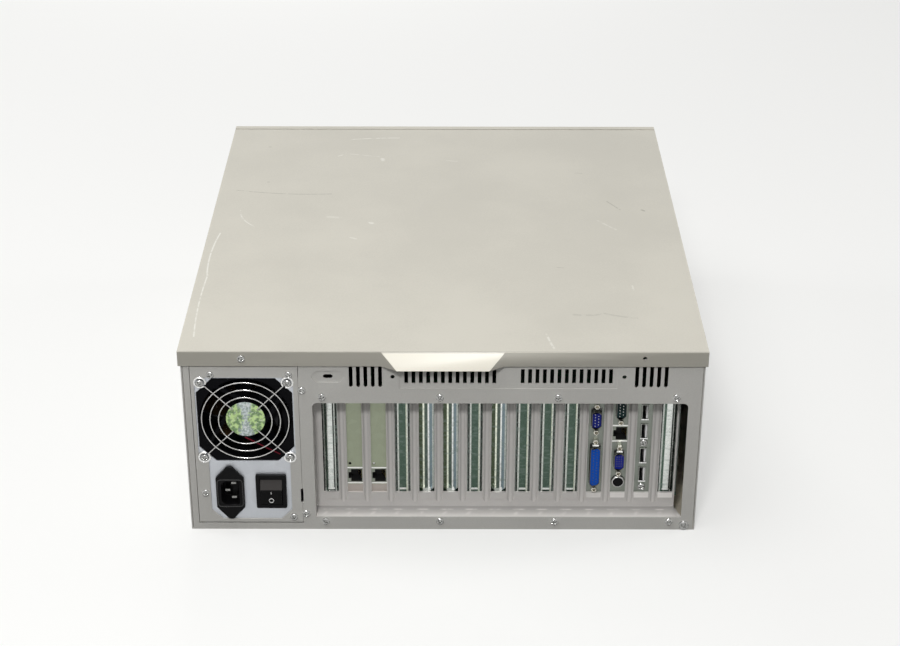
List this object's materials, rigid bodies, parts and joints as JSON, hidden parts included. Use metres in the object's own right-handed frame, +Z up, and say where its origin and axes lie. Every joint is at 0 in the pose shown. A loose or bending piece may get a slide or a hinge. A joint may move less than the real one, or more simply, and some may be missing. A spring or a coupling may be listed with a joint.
{
  "type": "rackmount industrial computer case",
  "caption": "Rackmount industrial computer case with recessed card slots, a rear power supply, sliding top cover and a hinged front door.",
  "frame": {"origin": "middle of the underside", "axes": "+X right seen from the rear, +Y to the front, +Z up"},
  "size_m": [0.4316, 0.4958, 0.173],
  "materials": {
    "zinc": "zinc-coated sheet",
    "panel": "grey paint",
    "bay": "grey paint",
    "cover": "warm light grey paint, scratched",
    "supply": "zinc-coated sheet",
    "screws": "bright zinc",
    "wire": "bright plating",
    "bracket": "bright zinc",
    "contact": "tinned",
    "heatsink": "plain",
    "board": "green solder mask",
    "black": "black moulding",
    "rocker": "black moulding",
    "teal": "dark green insulator",
    "blue": "blue insulator",
    "jack": "black moulding",
    "socket": "ivory moulding",
    "rubber": "black rubber",
    "blank": "grey moulding",
    "lamp": "clear green lens"
  },
  "bodies": {
    "case": {"chassis_tray": "zinc", "rear_panel": "panel", "slot_bay": "bay", "psu_plate": "panel", "psu_case": "supply", "psu_lid": "supply", "psu_board": "board", "psu_fan_frame": "black", "psu_fan_guard": "wire", "mains_inlet": "black", "inlet_blades": "contact", "switch_body": "black", "serial_bracket": "bracket", "serial_port": "blue", "parallel_port": "blue", "cpu_bracket": "bracket", "cpu_board": "board", "cpu_heatsink": "heatsink", "com_port": "teal", "network_jacks": "jack", "lan_boards": "board", "video_port": "blue", "keyboard_port": "black", "usb_bracket": "bracket", "usb_ports": "contact", "connector_shells": "contact", "jack_posts": "contact", "backplane": "board", "standoffs": "contact", "card_sockets": "socket", "hold_down_bar": "zinc", "card_pads": "rubber", "front_panel": "cover", "drive_cage": "zinc", "bay_blanks": "blank", "hard_disk": "heatsink", "intake_fan_frame": "black", "button_block": "black", "status_lamps": "lamp", "machine_screws": "screws", "lan_bracket_1": "bracket", "lan_bracket_2": "bracket", "slot_cover_01": "bracket", "slot_cover_04": "bracket", "slot_cover_05": "bracket", "slot_cover_06": "bracket", "slot_cover_07": "bracket", "slot_cover_08": "bracket", "slot_cover_09": "bracket", "slot_cover_10": "bracket", "slot_cover_11": "bracket", "slot_cover_15": "bracket"},
    "cover": {"top_cover": "cover", "cover_screw": "screws"},
    "supply_fan": {"psu_fan_rotor": "black"},
    "intake_fan": {"intake_fan_rotor": "black"},
    "rocker": {"switch_rocker": "rocker"},
    "door": {"front_door": "cover"},
    "power_button": {"power_button": "black"},
    "reset_button": {"reset_button": "black"}
  },
  "joints": [
    {"name": "cover_slide", "type": "slide", "parent": "case", "child": "cover", "axis": [0, -1, 0], "range_m": [0, 0.48]},
    {"name": "supply_fan_spin", "type": "hinge", "parent": "case", "child": "supply_fan", "pos_m": [-0.1634, -0.2281, 0.1072], "axis": [0, 1, 0], "continuous": true},
    {"name": "intake_fan_spin", "type": "hinge", "parent": "case", "child": "intake_fan", "pos_m": [0.11, 0.2319, 0.086], "axis": [0, 1, 0], "continuous": true},
    {"name": "rocker_tilt", "type": "hinge", "parent": "case", "child": "rocker", "pos_m": [-0.1447, -0.23539, 0.0381], "axis": [1, 0, 0], "range_deg": [0, 20]},
    {"name": "door_hinge", "type": "hinge", "parent": "case", "child": "door", "pos_m": [-0.192, 0.2439, 0.0865], "axis": [0, 0, 1], "range_deg": [0, 110]},
    {"name": "power_press", "type": "slide", "parent": "case", "child": "power_button", "axis": [0, -1, 0], "range_m": [0, 0.002], "stiffness_N_per_m": 500},
    {"name": "reset_press", "type": "slide", "parent": "case", "child": "reset_button", "axis": [0, -1, 0], "range_m": [0, 0.002], "stiffness_N_per_m": 500}
  ]
}
